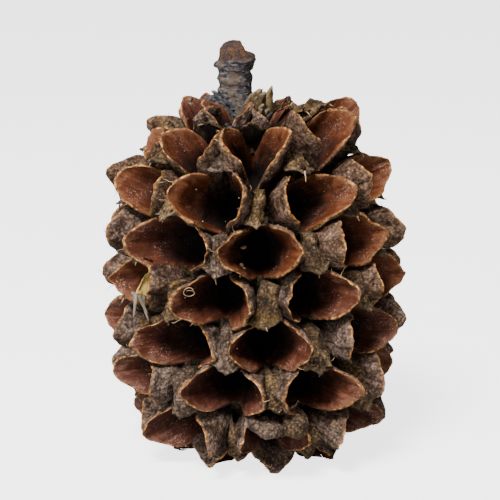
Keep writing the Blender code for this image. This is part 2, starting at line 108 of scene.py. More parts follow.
def barrel_place(along):
    """Radius, height and outward tilt at a length along the barrel's side above its middle."""
    steps = 400
    walked = 0.0
    before = barrel_point(0.0)
    sign = -1.0 if along < 0 else 1.0
    for i in range(1, steps):
        here = barrel_point(sign * i / steps * math.pi / 2)
        length = math.dist(before, here)
        if walked + length >= abs(along):
            share = (abs(along) - walked) / length
            radius = before[0] + (here[0] - before[0]) * share
            height = before[1] + (here[1] - before[1]) * share
            tilt = math.atan2(abs(here[0] - before[0]), abs(here[1] - before[1]))
            tilt *= LOWER_TILT_SHARE if along < 0 else UPPER_TILT_SHARE
            return radius, height, sign * min(tilt, math.radians(MOST_TILT))
        walked += length
        before = here
    raise ValueError("that length is past the barrel's end")


def axis_shift(height):
    """Sideways shift of the leaning axis at a height."""
    return AXIS_LEAN * (BARREL_MIDDLE - height)


def fruitlet_frame(radius, height, tilt, azimuth):
    """Local axes of a fruitlet: x sideways, y towards the stalk, z outwards."""
    outward = Vector(
        (math.sin(azimuth) * math.cos(tilt), -math.cos(azimuth) * math.cos(tilt), math.sin(tilt))
    )
    sideways = Vector((math.cos(azimuth), math.sin(azimuth), 0))
    up = outward.cross(sideways)
    place = Vector((radius * math.sin(azimuth), -radius * math.cos(azimuth), height))
    place.x += axis_shift(height)
    turned = Matrix((sideways, up, outward)).transposed().to_4x4()
    return Matrix.Translation(place + SHIFT) @ turned


def fruitlets():
    """Every fruitlet's place and shape, in the order in which the solids were grown."""
    rng = random.Random(SEED)
    pitch = 360 / PER_WHORL
    found = []
    for whorl in range(FIRST_WHORL, LAST_WHORL + 1):
        radius, height, tilt = barrel_place((MIDDLE_WHORL - whorl) * WHORL_PITCH)
        gain = UPPER_GAIN if whorl < MIDDLE_WHORL else LOWER_GAIN
        scale = min(1.0, gain * (radius / BARREL_RADIUS) ** GAIN_POWER)
        small = whorl in (FIRST_WHORL, LAST_WHORL)
        for place in range(PER_WHORL):
            odd = OUT_OF_LINE.get((whorl, place), IN_LINE)
            turn = FRONT_PHASE + PHASE_DRIFT * whorl + pitch * place + pitch / 2 * (whorl % 2)
            azimuth = math.radians(turn + odd[0] + rng.uniform(-2, 2))
            rise = (odd[1] + rng.uniform(-0.25, 0.25)) * MM
            here = fruitlet_frame(radius, height + rise, tilt, azimuth)
            found.append({
                "floor": END_FLOOR_DEPTH if small else FLOOR_DEPTH,
                "tip": [TIP_DEPTH * rng.uniform(0.86, 1.12) + reach * MM for reach in odd[4:]],
                "gape": [HALF_GAPE * rng.uniform(0.92, 1.08) * gape for gape in odd[2:4]],
                "point": rng.uniform(1.0, 1.35),
                "droop": rng.uniform(-0.08, 0.08),
                "frame": np.array(here @ Matrix.Scale(scale, 4)),
                "scale": scale,
                "whorl": whorl,
                "place": place,
            })
    return found


# Arithmetic on arrays of points

HASH_STEPS = (73856093, 19349663, 83492791)
HASH_SEED, HASH_MIX = 2654435761, 1274126177


def lattice_noise(points, cell, seed):
    """Smooth noise from -1 to 1 at each point, with lumps about a cell across."""
    where = points / cell + seed * 13.7
    base = np.floor(where).astype(np.int64)
    part = where - base
    part = part * part * (3 - 2 * part)
    total = np.zeros(points.shape[:-1])
    for corner in np.ndindex(2, 2, 2):
        cell_at = base + np.array(corner)
        x, y, z = (cell_at[..., axis] * HASH_STEPS[axis] for axis in range(3))
        mixed = (x ^ y ^ z ^ (seed * HASH_SEED)) & 0x7FFFFFFF
        mixed = ((mixed ^ (mixed >> 13)) * HASH_MIX) & 0x7FFFFFFF
        mixed = (mixed ^ (mixed >> 16)) & 0xFFFF
        weight = np.ones(points.shape[:-1])
        for axis, side in enumerate(corner):
            weight = weight * (part[..., axis] if side else 1 - part[..., axis])
        total += weight * (mixed / 32767.5 - 1)
    return total


def rough_noise(points, cell, seed, layers=3):
    """Several sizes of smooth noise together."""
    total = 0.0
    for layer in range(layers):
        total = total + lattice_noise(points, cell / 2**layer, seed + layer) / 2**layer
    return total


def grid_normals(points):
    """Unit normals of a grid of points, rows by columns, closed round its columns."""
    along = np.roll(points, -1, 1) - np.roll(points, 1, 1)
    normal = np.cross(along, np.gradient(points, axis=0))
    size = np.linalg.norm(normal, axis=-1, keepdims=True)
    return normal / np.maximum(size, 1e-12)


def stacked(*parts):
    """Points from their coordinates, or a grid's values from their four parts."""
    return np.stack(np.broadcast_arrays(*parts), -1)


def placed(matrix, points):
    """Points in a fruitlet's own axes brought to the model's."""
    return points @ matrix[:3, :3].T + matrix[:3, 3]


def smooth(value, low, high):
    """Goes smoothly from 0 at low to 1 at high."""
    share = np.clip((value - low) / (high - low), 0, 1)
    return share * share * (3 - 2 * share)


def largest_part(faces, count):
    """The triangles of the largest connected part."""
    label = np.arange(count)
    while True:
        least = label[faces].min(axis=1)
        after = label.copy()
        for corner in range(3):
            np.minimum.at(after, faces[:, corner], least)
        after = after[after]
        if (after == label).all():
            break
        label = after
    parts = label[faces[:, 0]]
    return faces[parts == np.bincount(parts).argmax()]


def linked(name, data):
    """A new object in the scene."""
    thing = bpy.data.objects.new(name, data)
    bpy.context.scene.collection.objects.link(thing)
    return thing


class Skin:
    """Collects grids of points into one mesh, with values at its points for the materials."""

    def __init__(self):
        self.points, self.faces, self.values, self.grains = [], [], [], []
        self.count = 0

    def add_grid(self, points, values, caps=True, gone=None, grain=(0, 0, 0)):
        """Adds a grid of rows and columns, closed round its columns, and with caps at its ends."""
        rows, columns = points.shape[:2]
        number = np.arange(rows * columns).reshape(rows, columns)
        right = np.roll(number, -1, 1)
        a, b, c, d = number[:-1], right[:-1], right[1:], number[1:]
        faces = np.concatenate([stacked(a, b, c), stacked(a, c, d)]).reshape(-1, 3)
        if gone is not None:
            faces = largest_part(faces[~gone.reshape(-1)[faces].all(axis=1)], rows * columns)
        points = points.reshape(-1, 3)
        values = np.broadcast_to(values, (rows, columns, 4)).reshape(-1, 4)
        grain = np.broadcast_to(grain, (rows, columns, 3)).reshape(-1, 3)
        if caps:
            for ring, turned in ((number[0], True), (number[-1], False)):
                apex = np.full(columns, len(points))
                after = np.roll(ring, -1)
                fan = [after, ring, apex] if turned else [ring, after, apex]
                faces = np.concatenate([faces, stacked(*fan)])
                points = np.vstack([points, points[ring].mean(axis=0)])
                values = np.vstack([values, values[ring[0]]])
                grain = np.vstack([grain, grain[ring[0]]])
        self.points.append(points)
        self.faces.append(faces + self.count)
        self.values.append(values)
        self.grains.append(grain)
        self.count += len(points)

    def build(self, name, material, node="cone"):
        """Makes the mesh, and has it stand for the CAD node."""
        points = fit_box(np.concatenate(self.points))
        faces = np.concatenate(self.faces)
        mesh = bpy.data.meshes.new(name)
        mesh.vertices.add(len(points))
        mesh.vertices.foreach_set("co", points.astype(np.float32).ravel())
        mesh.loops.add(len(faces) * 3)
        mesh.loops.foreach_set("vertex_index", faces.astype(np.int32).ravel())
        mesh.polygons.add(len(faces))
        mesh.polygons.foreach_set("loop_start", np.arange(0, len(faces) * 3, 3, dtype=np.int32))
        mesh.polygons.foreach_set("loop_total", np.full(len(faces), 3, dtype=np.int32))
        mesh.update(calc_edges=True)
        mesh.validate()
        mesh.shade_smooth()
        marks = mesh.attributes.new("marks", "FLOAT_COLOR", "POINT")
        marks.data.foreach_set("color", np.concatenate(self.values).astype(np.float32).ravel())
        grain = mesh.attributes.new("grain", "FLOAT_VECTOR", "POINT")
        places = np.concatenate(self.grains)
        grain.data.foreach_set("vector", places.astype(np.float32).ravel())
        mesh.materials.append(material)
        thing = linked(name, mesh)
        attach(thing, "root")
        if node:
            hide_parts(node)


def fit_box(points):
    """Keeps points inside the box of the solids, or just past its sides, on the floor."""
    low, high = (np.array(corner) for corner in cad_box)
    margin = np.array([BOX_MARGIN, BOX_MARGIN, 0.0])
    return np.clip(points, low - margin, high + margin)


# Materials

class Paint:
    """A node material in the making, measured in metres from the model's origin."""

    def __init__(self, name, roughness=0.8, specular=0.5):
        self.material = bpy.data.materials.new(name)
        self.material.use_nodes = True
        self.tree = self.material.node_tree
        self.tree.nodes.clear()
        self.shader = self.node("BsdfPrincipled", Roughness=roughness, Specular_IOR_Level=specular)
        self.node("OutputMaterial", Surface=self.shader.outputs[0])
        self.place = self.node("TexCoord").outputs["Object"]
        marks = self.attribute("marks")
        self.red, self.green, self.blue = self.node("SeparateColor", Color=marks["Color"]).outputs
        self.alpha = marks["Alpha"]

    def node(self, kind, **inputs):
        """A new node with some inputs set, named with underscores for their spaces."""
        node = self.tree.nodes.new("ShaderNode" + kind)
        for name, value in inputs.items():
            self.put(node.inputs[name.replace("_", " ")], value)
        return node

    def attribute(self, name):
        """What a mesh's attribute gives."""
        node = self.node("Attribute")
        node.attribute_name = name
        return node.outputs

    def put(self, socket, value):
        """Links a socket to another, or sets a plain value on it."""
        if isinstance(value, bpy.types.NodeSocket):
            self.tree.links.new(value, socket)
        elif isinstance(value, tuple) and len(value) == 3 and socket.type == "RGBA":
            socket.default_value = (*value, 1)
        else:
            socket.default_value = value

    def noise(self, size, detail=3.0, roughness=0.6, distortion=0.0, stretch=None):
        """Noise whose lumps are about a size across, in millimetres."""
        place = self.place
        if stretch:
            place = self.node("Mapping", Scale=stretch, Vector=place).outputs[0]
        return self.noise_at(place, 1 / (size * MM), detail, roughness, distortion)

    def streaks(self, detail=4.0, distortion=0.3):
        """Noise drawn out along the grain."""
        return self.noise_at(self.attribute("grain")["Vector"], 1.0, detail, 0.65, distortion)

    def noise_at(self, place, scale, detail, roughness, distortion):
        """Noise at a place."""
        node = self.node("TexNoise", Vector=place, Scale=scale, Detail=detail,
                         Roughness=roughness, Distortion=distortion)
        return node.outputs["Fac"]

    def cells(self, size, feature="F1"):
        """Distance to the nearest of scattered points, about a size apart in millimetres."""
        node = self.node("TexVoronoi", Scale=1 / (size * MM), Vector=self.place)
        node.feature = feature
        return node.outputs["Distance"]

    def ramp(self, value, stops):
        """A colour or grey for each value, from stops of position and colour."""
        node = self.tree.nodes.new("ShaderNodeValToRGB")
        elements = node.color_ramp.elements
        while len(elements) > 1:
            elements.remove(elements[-1])
        for i, (position, colour) in enumerate(stops):
            element = elements[0] if i == 0 else elements.new(position)
            element.position = position
            colour = colour if isinstance(colour, tuple) else (colour,) * 3
            element.color = (*colour, 1)
        self.put(node.inputs[0], value)
        return node.outputs[0]

    def mix(self, share, first, second, blend="MIX"):
        """Two colours mixed by a share."""
        node = self.tree.nodes.new("ShaderNodeMix")
        node.data_type = "RGBA"
        node.blend_type = blend
        self.put(node.inputs[0], share)
        self.put(node.inputs[6], first)
        self.put(node.inputs[7], second)
        return node.outputs[2]

    def math(self, operation, first, second):
        """One step of arithmetic on two values."""
        node = self.node("Math")
        node.operation = operation
        self.put(node.inputs[0], first)
        self.put(node.inputs[1], second)
        return node.outputs[0]

    def plus(self, first, second):
        return self.math("ADD", first, second)

    def times(self, first, second):
        return self.math("MULTIPLY", first, second)

    def bump(self, height, depth):
        """A surface relief that is a depth in millimetres from the lowest to the highest value."""
        return self.node("Bump", Strength=1.0, Distance=depth * MM, Height=height).outputs[0]

    def finish(self, colour, **others):
        """Sets the shader's colour, and its relief and roughness if they are given."""
        self.put(self.shader.inputs["Base Color"], colour)
        for name, value in others.items():
            self.put(self.shader.inputs[name], value)
        return self.material


def bark_colour(paint, dark, middle, pale, tint, moss, moss_share):
    """Felted bark: a colour and a relief from grains, flakes, streaks, knobs and cracks."""
    grains = paint.noise(0.26, detail=4, roughness=0.7)
    flakes = paint.noise(0.95, detail=5, roughness=0.65, distortion=0.8)
    knobs = paint.ramp(paint.cells(0.34), [(0.1, 1.0), (0.75, 0.0)])
    level = paint.times(grains, 0.36)
    for value, weight in ((flakes, 0.34), (paint.streaks(), 0.18), (knobs, 0.12)):
        level = paint.plus(level, paint.times(value, weight))
    grey = paint.ramp(level, [(0.37, dark), (0.46, middle), (0.56, pale), (0.66, tint)])
    green = paint.ramp(level, [(0.37, dark), (0.48, moss), (0.64, tuple(2.6 * v for v in moss))])
    patches = paint.noise(2.7, detail=3, distortion=0.6)
    colour = paint.mix(paint.ramp(patches, [(0.48, 0.0), (0.6, moss_share)]), grey, green)
    shadow = paint.ramp(paint.noise(2.2, detail=4), [(0.38, 0.85), (0.54, 0.0)])
    colour = paint.mix(shadow, colour, (0.22, 0.17, 0.15), "MULTIPLY")
    cracks = paint.ramp(paint.cells(0.8, "DISTANCE_TO_EDGE"), [(0.0, 0.3), (0.1, 1.0)])
    colour = paint.mix(0.6, colour, cracks, "MULTIPLY")
    return colour, paint.plus(level, paint.times(cracks, 0.1))


def valve_material():
    """Satin inside with painted shade darkening it to the throat, pale specks of dust and painted
    glints, a pale worn rim, and granular bark outside with painted shade towards its root.
    """
    paint = Paint("valve_wood", specular=0.1)
    inside, rim, share, tone = paint.red, paint.green, paint.blue, paint.alpha
    blotches = paint.noise(1.5, detail=6, roughness=0.68, distortion=0.8)
    fine = paint.noise(0.17, detail=3, roughness=0.75)
    along = paint.streaks(detail=5, distortion=0.1)
    # The inside's colour follows its depth: painted shade takes it to near black in the throat
    level = share
    for value, weight in ((blotches, 1.1), (along, 0.75)):
        level = paint.plus(level, paint.times(paint.plus(value, -0.5), weight))
    orange = paint.ramp(
        level, [(0.15, (0.0025, 0.001, 0.0007)), (0.45, (0.015, 0.004, 0.0018)),
        (0.7, (0.043, 0.0107, 0.0034)), (0.88, (0.069, 0.0185, 0.0057)),
        (1.0, (0.106, 0.0385, 0.0165))]
    )
    plum = paint.ramp(
        level, [(0.15, (0.0025, 0.0011, 0.0009)), (0.48, (0.0115, 0.0034, 0.0023)),
        (0.74, (0.033, 0.0082, 0.0046)), (0.9, (0.05, 0.0152, 0.009)),
        (1.0, (0.084, 0.036, 0.0255))]
    )
    # The tone picks orange or plum: partly the valves' own colour, partly painted light in the
    # brighter orange of the upper whorls
    satin = paint.mix(paint.ramp(tone, [(0.2, 1.0), (0.75, 0.0)]), orange, plum)
    # Pale specks on the insides: partly dust, partly painted glints, fewer towards the throat
    dust_and_glint_patches = paint.ramp(paint.noise(1.7), [(0.5, 0.05), (0.64, 1.0)])
    dust_and_glint_specks = paint.times(paint.ramp(fine, [(0.555, 0.0), (0.63, 0.85)]), dust_and_glint_patches)
    satin = paint.mix(paint.times(dust_and_glint_specks, share), satin, (0.3, 0.2, 0.15))
    bark, relief = bark_colour(
        paint, (0.018, 0.0115, 0.009), (0.074, 0.049, 0.038), (0.18, 0.125, 0.101),
        (0.33, 0.25, 0.207), (0.06, 0.034, 0.013), 0.5
    )
    # Painted shade: the outside darkens towards its root, deep between the fruitlets
    painted_root_shade = paint.ramp(share, [(0.4, 0.85), (0.8, 0.0)])
    bark = paint.mix(painted_root_shade, bark, (0.2, 0.15, 0.12), "MULTIPLY")
    warm = paint.ramp(tone, [(0.35, 0.0), (0.8, 0.65)])
    bark = paint.mix(warm, bark, (1.0, 0.82, 0.6), "MULTIPLY")
    worn = paint.ramp(
        paint.noise(0.42, detail=4, roughness=0.7), [(0.38, (0.05, 0.018, 0.006)),
        (0.5, (0.25, 0.105, 0.03)), (0.64, (0.6, 0.34, 0.13))]
    )
    kept = paint.ramp(paint.noise(1.3), [(0.4, 0.2), (0.54, 0.95)])
    colour = paint.mix(paint.times(rim, kept), paint.mix(inside, bark, satin), worn)
    height = paint.mix(inside, relief, paint.times(fine, 0.18))
    gloss = paint.times(inside, paint.times(share, -0.42))
    return paint.finish(colour, Normal=paint.bump(height, 0.6), Roughness=paint.plus(gloss, 0.9))


def bract_material():
    """Thick felt in olive, straw and grey-brown over dark wood, with painted shade that turns its
    back near black.
    """
    paint = Paint("bract_felt", roughness=0.95, specular=0.2)
    bark, relief = bark_colour(
        paint, (0.008, 0.005, 0.0028), (0.052, 0.031, 0.0135), (0.175, 0.107, 0.048),
        (0.4, 0.275, 0.15), (0.08, 0.045, 0.009), 0.85
    )
    lip = paint.mix(paint.times(paint.green, 0.6), bark, (0.12, 0.08, 0.045))
    # Painted shade: the bract's back, marked by the third value, is made near black
    lip = paint.mix(paint.times(paint.blue, 0.9), lip, (0.006, 0.004, 0.003))
    pink = paint.ramp(
        relief, [(0.5, (0.018, 0.011, 0.008)), (0.62, (0.085, 0.056, 0.041)),
        (0.72, (0.21, 0.148, 0.112)), (0.84, (0.38, 0.29, 0.23))]
    )
    return paint.finish(paint.mix(paint.red, lip, pink), Normal=paint.bump(relief, 0.65))


def ground_material():
    """Crusted wood between the fruitlets, made very dark: partly its own colour, partly painted
    shade deep in the crevices.
    """
    paint = Paint("cone_ground", roughness=0.95, specular=0.2)
    bark, relief = bark_colour(
        paint, (0.004, 0.003, 0.002), (0.025, 0.017, 0.009), (0.07, 0.048, 0.024),
        (0.15, 0.11, 0.06), (0.03, 0.02, 0.005), 0.8
    )
    return paint.finish(bark, Normal=paint.bump(relief, 0.2))


def stalk_material():
    """Slate-grey ringed bark, and bare broken wood where the first value is 1."""
    paint = Paint("stalk_bark", roughness=0.9, specular=0.25)
    fissures = paint.noise(0.55, detail=4, roughness=0.7, stretch=(1, 1, 2.4))
    grains = paint.noise(0.2, detail=3, roughness=0.7)
    warm = paint.noise(1.6, detail=2)
    slate = paint.ramp(
        fissures, [(0.38, (0.004, 0.0036, 0.005)), (0.48, (0.02, 0.0172, 0.0195)),
        (0.57, (0.058, 0.05, 0.052)), (0.7, (0.17, 0.135, 0.12))]
    )
    slate = paint.mix(paint.ramp(warm, [(0.5, 0.0), (0.62, 0.6)]), slate, (0.075, 0.052, 0.034))
    wood = paint.ramp(
        grains, [(0.36, (0.006, 0.003, 0.0028)), (0.5, (0.021, 0.01, 0.0085)),
        (0.66, (0.07, 0.038, 0.029))]
    )
    honey = paint.ramp(paint.noise(1.2), [(0.48, 0.0), (0.6, 0.5)])
    wood = paint.mix(honey, wood, (0.08, 0.036, 0.013))
    scale = paint.ramp(
        fissures, [(0.4, (0.01, 0.011, 0.014)), (0.52, (0.033, 0.036, 0.042)),
        (0.66, (0.105, 0.097, 0.097))]
    )
    colour = paint.mix(paint.blue, paint.mix(paint.red, slate, wood), scale)
    colour = paint.mix(paint.green, colour, (0.17, 0.115, 0.05))
    relief = paint.plus(fissures, paint.times(grains, 0.4))
    return paint.finish(colour, Normal=paint.bump(relief, 0.18))


def straw_material():
    """Papery, finely veined straw for the winged seed."""
    paint = Paint("seed_wing", roughness=0.6, specular=0.4)
    veins = paint.noise(0.28, stretch=(1, 1, 0.35))
    colour = paint.ramp(
        veins, [(0.35, (0.26, 0.155, 0.035)), (0.5, (0.44, 0.29, 0.075)), (0.7, (0.62, 0.46, 0.17))]
    )
    colour = paint.mix(paint.red, colour, (0.2, 0.1, 0.04))
    return paint.finish(colour, Normal=paint.bump(veins, 0.06))


def hair_material():
    """Dry plant hairs and flecks, from straw to tan."""
    paint = Paint("dry_hair", roughness=0.7, specular=0.3)
    patches = paint.noise(1.4, detail=2)
    tan = paint.ramp(
        patches, [(0.35, (0.08, 0.05, 0.025)), (0.5, (0.2, 0.13, 0.07)), (0.65, (0.38, 0.28, 0.17))]
    )
    grey = paint.ramp(patches, [(0.4, (0.05, 0.04, 0.028)), (0.6, (0.17, 0.14, 0.1))])
    relief = paint.bump(paint.noise(0.1), 0.02)
    return paint.finish(paint.mix(paint.red, tan, grey), Normal=relief)


def floor_material():
    """A plain pale surface that looks brighter than the light that it gives back."""
    paint = Paint("pale_floor", roughness=0.9, specular=0.2)
    colour = paint.ramp(paint.noise(60, detail=2), [(0.3, 0.5), (0.7, 0.53)])
    seen = paint.node("LightPath").outputs["Is Camera Ray"]
    paint.put(paint.shader.inputs["Emission Color"], (1, 1, 1))
    paint.put(paint.shader.inputs["Emission Strength"], paint.times(seen, 2.8))
    return paint.finish(colour)


# Fruitlets

# Bracts that differ, by whorl and place: lean, share of the width, further reach and drop, in mm
ODD_BRACTS = {
    (0, 0): (0.1, 0.7, 0.1, 0), (0, 1): (0, 0.75, -0.4, 0), (0, 2): (0, 0.75, -0.4, 0),
    (1, 1): (-0.2, 0.7, -0.4, 0), (1, 0): (-0.3, 1.1, 0.3, 0), (2, 0): (-0.7, 0.85, 0.3, 0),
    (3, 0): (-0.5, 1, 0, 0), (4, 0): (-0.7, 1.1, 0.3, 0.2), (5, 0): (-0.2, 1.1, 0.2, 0),
    (6, 0): (0.2, 1.25, 0.2, -1.5), (6, 1): (0.2, 1.2, 0.5, 0.3),
}
PALE_BRACTS = ((1, 7), (3, 7), (5, 7))
# Lobes of the broad bract low on the front, in mm: middle, half sizes, roll in degrees, paleness
LOBES = (
    ((1.5, -13.1, 6.3), (2.2, 2.2, 1.05), 8, 0.95),
    ((4.25, -12.9, 6.45), (1.5, 2.3, 1.4), -12, 0.4),
)
ROUND = 84
INNER_ROWS, RIM_ROWS, OUTER_ROWS = 20, 4, 15
RIM_OUTSIDE, RIM_INSIDE = 0.62 * MM, 0.42 * MM
ROOT_DEPTH = 0.9 * MM
CUT_SKIN, CUT_LIP, CUT_REACH = 0.6 * MM, 0.25 * MM, 14 * MM
GROUND_SKIN, GROUND_REACH = 0.45 * MM, 8 * MM


def rim_depth(phi, shape, jitter=0.0):
    """Depth of a fruitlet's rim at each angle round it."""
    c = np.cos(phi)
    tip = np.where(c >= 0, shape["tip"][1], shape["tip"][0])
    notch = np.minimum(np.abs(c) / NOTCH_SHARE, 1.0)
    rise = (1 - TIP_LEAD) * notch * notch * (3 - 2 * notch) + TIP_LEAD * np.abs(c)
    horn = 0.35 * MM * np.exp(-(((np.abs(c) - 0.5) / 0.14) ** 2))
    return SEAM_DEPTH + (tip - SEAM_DEPTH) * rise + horn + jitter


def cup_halves(share, across, shape):
    """Half width and half height of a cup at a share of its depth, left or right of its middle."""
    gape = np.where(across >= 0, shape["gape"][1], shape["gape"][0])
    half_width = THROAT_HALF_WIDTH + (gape - THROAT_HALF_WIDTH) * share**0.8
    half_height = THROAT_HALF_HEIGHT + (HALF_HEIGHT - THROAT_HALF_HEIGHT) * share**0.6
    return half_width, half_height


def cup_points(phi, share, shape, skin, rim):
    """Points of a fruitlet's cup in its own axes; share goes from the throat's floor to the rim."""
    c, s = np.cos(phi), np.sin(phi)
    depth = shape["floor"] + (rim - shape["floor"]) * share
    half_width, half_height = cup_halves(share, c, shape)
    pointed = np.copysign(np.abs(s) ** shape["point"], s)
    across = c * (half_width + skin)
    up = pointed * (half_height + 0.65 * skin) + shape["droop"] * np.abs(across)
    return stacked(across, up, depth)


def poking(points, cups, own=None):
    """Which points of a grid are in the hollow of a fruitlet that isn't their own."""
    flat = points.reshape(-1, 3)
    found = np.zeros(len(flat), dtype=bool)
    middle = flat.mean(axis=0)
    for cup in cups:
        if cup is own or np.linalg.norm(cup["frame"][:3, 3] - middle) > CUT_REACH:
            continue
        out, rim, depth = cup_fit(flat, cup, CUT_SKIN)
        found |= (out < 1) & (depth > cup["floor"]) & (depth < rim - CUT_LIP)
    return found.reshape(points.shape[:-1])


def add_fruitlet(skin, shape, cups, rng):
    """One fruitlet's two valves as a thin-rimmed shell round its throat."""
    phi = np.arange(ROUND) * 2 * math.pi / ROUND
    seed = rng.randrange(1000)
    ring = stacked(np.cos(phi) * 3, np.sin(phi) * 2, 0)
    away = smooth(np.abs(np.cos(phi)), 0.1, 0.5)
    jitter = 0.2 * rough_noise(ring, 0.9, seed) + 0.07 * lattice_noise(ring, 0.22, seed + 5)
    rim = rim_depth(phi, shape, jitter * MM * away)
    wave = 0.42 * rough_noise(ring, 1.3, seed + 9) * MM
    rows, marks = [], []
    # Insides turn from orange on the upper whorls to plum lower down: partly the valves' own tone,
    # partly painted light that brightens the upper cups as light from above
    tone = min(max(0.85 - 0.12 * shape["whorl"] + rng.uniform(-0.25, 0.25), 0), 1)
    tone = min(tone, 0.4) if shape["whorl"] == FIRST_WHORL else tone
    for i in range(INNER_ROWS):
        share = 1 - (1 - min(i / (INNER_ROWS - 2), 1)) * 0.985 - 0.015 * (i < INNER_ROWS - 1)
        rows.append(cup_points(phi, share, shape, RIM_INSIDE * share**3 + wave * share**2, rim))
        edge = smooth(share, 0.985, 1.0)
        marks.append((1 - 0.2 * edge, edge, share, tone))
    for i in range(1, RIM_ROWS):
        turn = math.pi * i / RIM_ROWS
        middle = (RIM_OUTSIDE + RIM_INSIDE) / 2
        half = (RIM_OUTSIDE - RIM_INSIDE) / 2
        points = cup_points(phi, 1.0, shape, middle - half * math.cos(turn) + wave, rim)
        points[..., 2] += 0.08 * MM * math.sin(turn)
        rows.append(points)
        marks.append((0.35, 1.0, 1.0, tone))
    for i in range(OUTER_ROWS):
        share = 1.0 - 0.92 * (i / (OUTER_ROWS - 1)) ** 1.7
        skin_depth = RIM_OUTSIDE + 0.16 * MM * min((1 - share) / 0.04, 1)
        skin_depth += 0.3 * MM * math.sin(min((1 - share) / 0.5, 1) * math.pi / 2)
        rows.append(cup_points(phi, share, shape, skin_depth + wave * share**2, rim))
        marks.append((0.0, 0.9 * math.exp(-(1 - share) / 0.008), share, tone))
    root = rows[-1] * np.array([0.8, 0.8, 0.0])
    root[..., 2] = shape["floor"] - ROOT_DEPTH
    rows.append(root)
    marks.append((0.0, 0.0, 0.0, tone))
    local = np.stack(rows)
    world = placed(shape["frame"], local)
    normal = grid_normals(world)
    inner = np.arange(len(rows)) < INNER_ROWS
    grain = stacked(np.cos(phi) * 7 + seed, np.sin(phi) * 7, local[..., 2] / MM * 0.22)
    lumps = rough_noise(world, 1.5 * MM, 11 + seed, 4) * 0.19 * MM
    ridges = rough_noise(grain, 1.0, 70 + seed, 2) * 0.13 * MM
    folds = rough_noise(world, 2.0 * MM, 40 + seed, 3) * 0.2 * MM
    move = np.where(inner[:, None], folds, lumps + ridges)
    edge_calm = np.array([1 - 0.8 * mark[1] for mark in marks])[:, None]
    world = world + normal * (move * edge_calm)[..., None]
    values = np.repeat(np.array(marks)[:, None, :], ROUND, axis=1)
    values[..., 1] *= 0.1 + 0.9 * smooth(np.abs(np.cos(phi)), 0.16, 0.46)
    gone = poking(world, cups, shape) if shape["whorl"] > 0 else None
    skin.add_grid(world, values, gone=gone, grain=grain)


def add_bract(skin, shape, cups, rng):
    """The felted bract over a mouth, with a creased face, a curled lip and a hanging point."""
    columns, rows = 15, 26
    seed = rng.randrange(1000)
    odd = ODD_BRACTS.get((shape["whorl"], shape["place"]), (0.0, 1.0, 0.0, 0.0))
    lean = rng.uniform(-0.35, 0.35) * MM + odd[0] * MM
    reach = rng.uniform(-0.25, 0.35) * MM + odd[2] * MM
    wide = rng.uniform(0.82, 1.08) * odd[1]
    tall = 3.3 if shape["whorl"] > 0 else 1.9
    u = np.linspace(-1, 1, columns)
    grid = []
    for i in range(rows):
        v = i / (rows - 1)
        half = (1.85 - 1.05 * v**0.8) * MM * wide
        up = (3.1 + tall * v - odd[3] * (1 - v)) * MM
        up = up - 0.6 * MM * (1 - np.abs(u)) ** 1.4 * (1 - v) ** 2
        face = (1.7 - 1.1 * v**0.7) * MM + reach * (1 - v)
        ridge = 0.6 * MM * (1 - np.abs(u) ** 1.2) - 0.5 * MM * np.abs(u) ** 3
        curl = 0.15 * MM * math.exp(-((v / 0.1) ** 2))
        front = stacked(u * half + lean * (1 - v), up, face + ridge + curl)
        thick = (0.5 + 2.4 * min(v / 0.35, 1.0)) * MM
        back = front[::-1].copy()
        back[:, 0] *= 0.8
        back[:, 1] += 0.25 * MM * (1 - v)
        back[:, 2] -= thick
        grid.append(np.concatenate([front, back]))
    local = np.stack(grid)
    shape["spur"] = Vector((lean, (2.75 - odd[3]) * MM, 2.2 * MM + reach))
    world = placed(shape["frame"], local)
    normal = grid_normals(world)
    lumps = rough_noise(world, 1.3 * MM, 60 + seed, 4) * 0.3 * MM
    world = world - normal * lumps[..., None]
    ragged = lattice_noise(world, 0.3 * MM, 90 + seed) + lattice_noise(world, 0.8 * MM, seed)
    ragged = ragged * 0.2 * MM
    lip = smooth(np.linspace(0, 1, rows), 0.14, 0.0)[:, None]
    uneven = lattice_noise(world, 0.6 * MM, 40 + seed) * 0.3 * MM
    up_axis, out_axis = shape["frame"][:3, 1:3].T / shape["scale"]
    world = world + (ragged * lip)[..., None] * up_axis + (uneven * lip)[..., None] * out_axis
    front_part = np.concatenate([np.ones(columns), np.zeros(columns)])[None, :]
    pale = (shape["whorl"], shape["place"]) in PALE_BRACTS or rng.random() < 0.12
    pink = 0.85 if pale else rng.uniform(0, 0.3)
    # The third value marks the bract's back, which its material fills with painted shade
    values = stacked(front_part * pink, lip * front_part * 0.8, 1 - front_part, 1)
    grain = stacked(local[..., 0] / MM * 1.6, local[..., 1] / MM * 0.5, seed)
    skin.add_grid(world, values, gone=poking(world, cups), grain=grain)


def add_lobe(skin, middle, half, roll, pale, seed):
    """A rounded felted lobe, blunt at its right end and pointed at its left one."""
    rows, columns = 28, 40
    along = np.linspace(0, math.pi, rows)[1:-1, None]
    turn = np.arange(columns)[None, :] * 2 * math.pi / columns
    across = -np.cos(along)
    out = np.sin(along) ** (1.0 + 0.35 * (across < 0))
    ball = stacked(across, out * np.cos(turn), out * np.sin(turn)) * np.array(half) * MM
    turned = ball @ np.array(Matrix.Rotation(math.radians(roll), 3, "Y")).T
    points = turned + np.array(middle) * MM
    normal = grid_normals(points)
    lumps = rough_noise(points, 1.2 * MM, seed, 4) * 0.34 * MM
    points = points + normal * lumps[..., None]
    grain = points / MM * np.array([0.6, 1.2, 1.2])
    skin.add_grid(points, (pale, 0, 0, 1), grain=grain)


# Everything between and round the fruitlets

